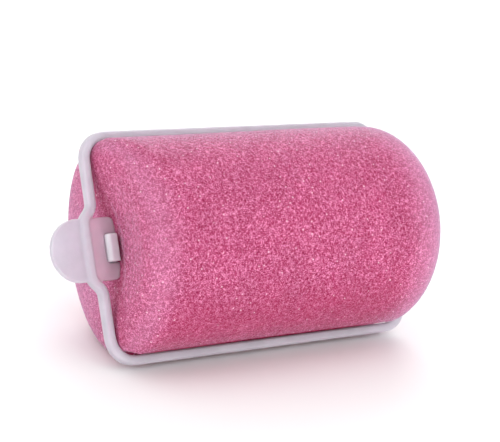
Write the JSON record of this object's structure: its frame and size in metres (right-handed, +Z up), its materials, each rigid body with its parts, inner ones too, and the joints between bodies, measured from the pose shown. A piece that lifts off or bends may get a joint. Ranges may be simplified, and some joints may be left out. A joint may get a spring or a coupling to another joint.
{
  "type": "hair roller",
  "caption": "Soft foam hair roller on a flat plastic core, with a hinged loop clamp that snaps over a catch beside a round thumb tab.",
  "frame": {"origin": "on the surface that the roller lies on, straight below the foam's axis and halfway along the clamp's loop", "axes": "+X along the roller from the latch to the hinge, +Z up, -Y the side that the clamp opens towards; the clamp's loop leans back about X by 29.6 degrees, as the roller lies on a table"},
  "size_m": [0.076, 0.038, 0.0377],
  "materials": {
    "foam": "open-cell polyurethane foam, matt",
    "core_plastic": "moulded polypropylene, satin, slightly see-through",
    "clamp_plastic": "moulded polypropylene, satin, slightly see-through"
  },
  "bodies": {
    "core": {"foam_sleeve": "foam", "core_blade": "core_plastic", "core_catch": "core_plastic", "core_upper_hook": "core_plastic", "core_lower_hook": "core_plastic"},
    "clamp": {"clamp_top_rail": "clamp_plastic", "clamp_bottom_rail": "clamp_plastic", "clamp_latch_bar": "clamp_plastic", "clamp_hinge_bar": "clamp_plastic", "clamp_tongue": "clamp_plastic", "clamp_thumb_tab": "clamp_plastic"}
  },
  "joints": [
    {"name": "clamp_swing", "type": "hinge", "parent": "core", "child": "clamp", "pos_m": [0.03245, 0, 0.0187], "axis": [0, 0.4939, 0.8695], "range_deg": [0, 160]}
  ]
}
